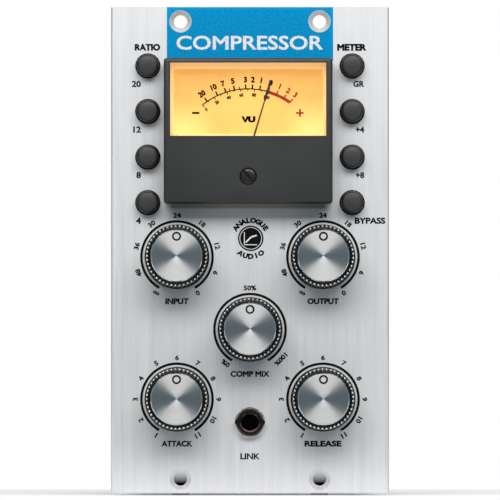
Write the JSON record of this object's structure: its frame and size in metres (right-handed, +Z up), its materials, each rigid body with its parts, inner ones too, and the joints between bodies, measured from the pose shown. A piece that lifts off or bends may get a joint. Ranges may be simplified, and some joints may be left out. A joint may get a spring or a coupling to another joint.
{
  "type": "rack compressor",
  "caption": "Two-slot modular rack audio compressor with a lit level meter, push buttons and fluted rotary knobs on a brushed panel, with a link socket.",
  "frame": {"origin": "on the back face of the front panel, midway between its two lower fixing holes, where the panel seats on the rack's lower rail", "axes": "+X to the right of someone facing the panel, +Y into the rack, +Z up"},
  "size_m": [0.0762, 0.1671, 0.1334],
  "materials": {
    "bezel_black": "dark moulding",
    "board_green": "green solder resist",
    "button_black": "fine satin",
    "cap_aluminium": "spun, bright",
    "case_grey": "moulded",
    "chassis_steel": "zinc-plated sheet",
    "dial_amber": "translucent, lit amber from behind",
    "housing_black": "moulded",
    "knob_black": "moulded, fluted",
    "magnet_steel": "plated, grey",
    "nut_nickel": "nickel plated",
    "panel_aluminium": "brushed satin",
    "pointer_black": "thin black lacquer",
    "pot_steel": "stamped can",
    "screw_steel": "black zinc",
    "shaft_brass": "turned",
    "window_clear": "clear acrylic pane"
  },
  "bodies": {
    "module": {"front_panel": "panel_aluminium", "chassis_tray": "chassis_steel", "chassis_cover": "chassis_steel", "cover_screw_front_lower": "screw_steel", "standoff_front_lower": "nut_nickel", "cover_screw_front_upper": "screw_steel", "standoff_front_upper": "nut_nickel", "cover_screw_rear_lower": "screw_steel", "standoff_rear_lower": "nut_nickel", "cover_screw_rear_upper": "screw_steel", "standoff_rear_upper": "nut_nickel", "main_board": "board_green", "control_board": "board_green", "input_transformer": "magnet_steel", "output_transformer": "magnet_steel", "board_header": "housing_black", "input_pot": "pot_steel", "input_pot_nut": "nut_nickel", "output_pot": "pot_steel", "output_pot_nut": "nut_nickel", "comp_mix_pot": "pot_steel", "comp_mix_pot_nut": "nut_nickel", "attack_pot": "pot_steel", "attack_pot_nut": "nut_nickel", "release_pot": "pot_steel", "release_pot_nut": "nut_nickel", "ratio_switch_bank": "housing_black", "meter_switch_bank": "housing_black", "meter_bezel": "bezel_black", "meter_window": "window_clear", "meter_case": "case_grey", "meter_dial": "dial_amber", "meter_magnet": "magnet_steel", "link_jack": "housing_black", "link_jack_nut": "nut_nickel"},
    "input_control": {"input_knob": "knob_black", "input_knob_cap": "cap_aluminium", "input_shaft": "shaft_brass"},
    "output_control": {"output_knob": "knob_black", "output_knob_cap": "cap_aluminium", "output_shaft": "shaft_brass"},
    "comp_mix_control": {"comp_mix_knob": "knob_black", "comp_mix_knob_cap": "cap_aluminium", "comp_mix_shaft": "shaft_brass"},
    "attack_control": {"attack_knob": "knob_black", "attack_knob_cap": "cap_aluminium", "attack_shaft": "shaft_brass"},
    "release_control": {"release_knob": "knob_black", "release_knob_cap": "cap_aluminium", "release_shaft": "shaft_brass"},
    "ratio_20_push": {"ratio_20_button": "button_black"},
    "ratio_12_push": {"ratio_12_button": "button_black"},
    "ratio_8_push": {"ratio_8_button": "button_black"},
    "ratio_4_push": {"ratio_4_button": "button_black"},
    "meter_gr_push": {"meter_gr_button": "button_black"},
    "meter_plus_4_push": {"meter_plus_4_button": "button_black"},
    "meter_plus_8_push": {"meter_plus_8_button": "button_black"},
    "bypass_push": {"bypass_button": "button_black"},
    "pointer": {"meter_pointer": "pointer_black"},
    "zero_adjuster": {"meter_zero_screw": "bezel_black"}
  },
  "joints": [
    {"name": "input_turn", "type": "hinge", "parent": "module", "child": "input_control", "pos_m": [-0.02, -0.003, 0.0608], "axis": [0, 1, 0], "range_deg": [-150, 150]},
    {"name": "output_turn", "type": "hinge", "parent": "module", "child": "output_control", "pos_m": [0.02, -0.003, 0.0608], "axis": [0, 1, 0], "range_deg": [-150, 150]},
    {"name": "comp_mix_turn", "type": "hinge", "parent": "module", "child": "comp_mix_control", "pos_m": [0, -0.003, 0.0409], "axis": [0, 1, 0], "range_deg": [-150, 150]},
    {"name": "attack_turn", "type": "hinge", "parent": "module", "child": "attack_control", "pos_m": [-0.02, -0.003, 0.0218], "axis": [0, 1, 0], "range_deg": [-150, 150]},
    {"name": "release_turn", "type": "hinge", "parent": "module", "child": "release_control", "pos_m": [0.02, -0.003, 0.0218], "axis": [0, 1, 0], "range_deg": [-150, 150]},
    {"name": "ratio_20_press", "type": "slide", "parent": "module", "child": "ratio_20_push", "axis": [0, 1, 0], "range_m": [0, 0.0025], "stiffness_N_per_m": 500},
    {"name": "ratio_12_press", "type": "slide", "parent": "module", "child": "ratio_12_push", "axis": [0, 1, 0], "range_m": [0, 0.0025], "stiffness_N_per_m": 500},
    {"name": "ratio_8_press", "type": "slide", "parent": "module", "child": "ratio_8_push", "axis": [0, 1, 0], "range_m": [0, 0.0025], "stiffness_N_per_m": 500},
    {"name": "ratio_4_press", "type": "slide", "parent": "module", "child": "ratio_4_push", "axis": [0, 1, 0], "range_m": [0, 0.0025], "stiffness_N_per_m": 500},
    {"name": "meter_gr_press", "type": "slide", "parent": "module", "child": "meter_gr_push", "axis": [0, 1, 0], "range_m": [0, 0.0025], "stiffness_N_per_m": 500},
    {"name": "meter_plus_4_press", "type": "slide", "parent": "module", "child": "meter_plus_4_push", "axis": [0, 1, 0], "range_m": [0, 0.0025], "stiffness_N_per_m": 500},
    {"name": "meter_plus_8_press", "type": "slide", "parent": "module", "child": "meter_plus_8_push", "axis": [0, 1, 0], "range_m": [0, 0.0025], "stiffness_N_per_m": 500},
    {"name": "bypass_press", "type": "slide", "parent": "module", "child": "bypass_push", "axis": [0, 1, 0], "range_m": [0, 0.0025], "stiffness_N_per_m": 500},
    {"name": "pointer_swing", "type": "hinge", "parent": "module", "child": "pointer", "pos_m": [-0.0005, 0, 0.08844], "axis": [0, 1, 0], "range_deg": [-58.7, 22.3], "stiffness_Nm_per_rad": 0.0006},
    {"name": "zero_adjust", "type": "hinge", "parent": "module", "child": "zero_adjuster", "pos_m": [-0.0005, -0.0123, 0.08264], "axis": [0, 1, 0], "range_deg": [-60, 60]}
  ]
}
